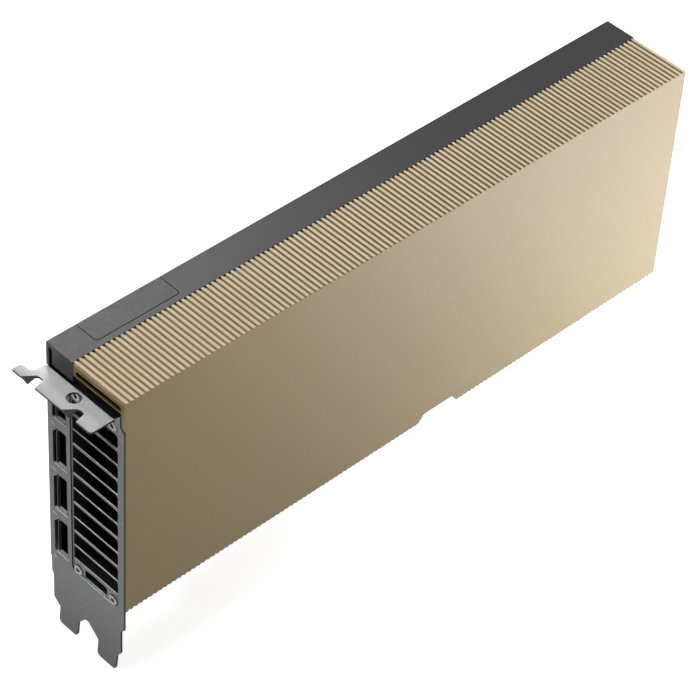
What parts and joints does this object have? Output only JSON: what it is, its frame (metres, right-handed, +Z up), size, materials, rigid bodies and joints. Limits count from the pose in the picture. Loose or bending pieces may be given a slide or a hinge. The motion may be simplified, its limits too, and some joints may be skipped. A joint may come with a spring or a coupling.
{
  "type": "passive accelerator card",
  "caption": "Fanless dual-slot accelerator card: ribbed shroud, black backplate, vented slot bracket with display sockets, heat sink and board inside.",
  "frame": {"origin": "middle of the card edge's key notch, at the bottom of its contacts and halfway through the board's thickness", "axes": "+X along the card from the slot bracket to the air inlet, +Y from the ribbed shroud to the backplate, +Z up out of the slot"},
  "size_m": [0.2766, 0.044, 0.1299],
  "materials": {
    "gold_shroud": "bronze-gold satin coat with a fine grain",
    "black_cover": "black satin coat with a fine grain",
    "bracket_steel": "zinc-plated sheet steel, lightly grained",
    "screw_steel": "plated steel",
    "screw_black": "black-coated steel",
    "black_frame": "black coat",
    "board": "dark green laminate with a matt mask",
    "contact_gold": "gold flash",
    "connector_plastic": "black moulded plastic",
    "pin_tin": "tin-plated brass",
    "socket_steel": "plated spring steel",
    "spreader_nickel": "nickel-plated spreader",
    "fin_aluminium": "black-coated aluminium sheet",
    "silicon": "polished die",
    "ring_nickel": "nickel-plated ring",
    "chip_plastic": "moulded package",
    "pad_rubber": "soft gap filler",
    "inductor_grey": "pressed ferrite",
    "capacitor_can": "aluminium can"
  },
  "bodies": {
    "root": {"shroud": "gold_shroud", "back_cover": "black_cover", "access_hatch": "black_cover", "bracket": "bracket_steel", "vent_screws": "screw_steel", "cover_screws": "screw_black", "front_frame": "black_frame", "bottom_rail": "black_frame", "rear_frame": "black_frame", "circuit_board": "board", "edge_contacts": "contact_gold", "power_connector": "connector_plastic", "power_pins": "pin_tin", "heatsink_base": "spreader_nickel", "heatsink_fins": "fin_aluminium", "heatsink_screws": "screw_steel", "gpu_substrate": "board", "gpu_die": "silicon", "package_ring": "ring_nickel", "memory_chips": "chip_plastic", "rear_memory_chips": "chip_plastic", "thermal_pads": "pad_rubber", "power_stages": "chip_plastic", "inductors": "inductor_grey", "capacitors": "capacitor_can", "input_capacitors": "capacitor_can", "controller_chips": "chip_plastic", "display_shell_1": "socket_steel", "display_tongue_1": "connector_plastic", "display_shell_2": "socket_steel", "display_tongue_2": "connector_plastic", "display_shell_3": "socket_steel", "display_tongue_3": "connector_plastic", "display_shell_4": "socket_steel", "display_tongue_4": "connector_plastic"}
  },
  "joints": []
}
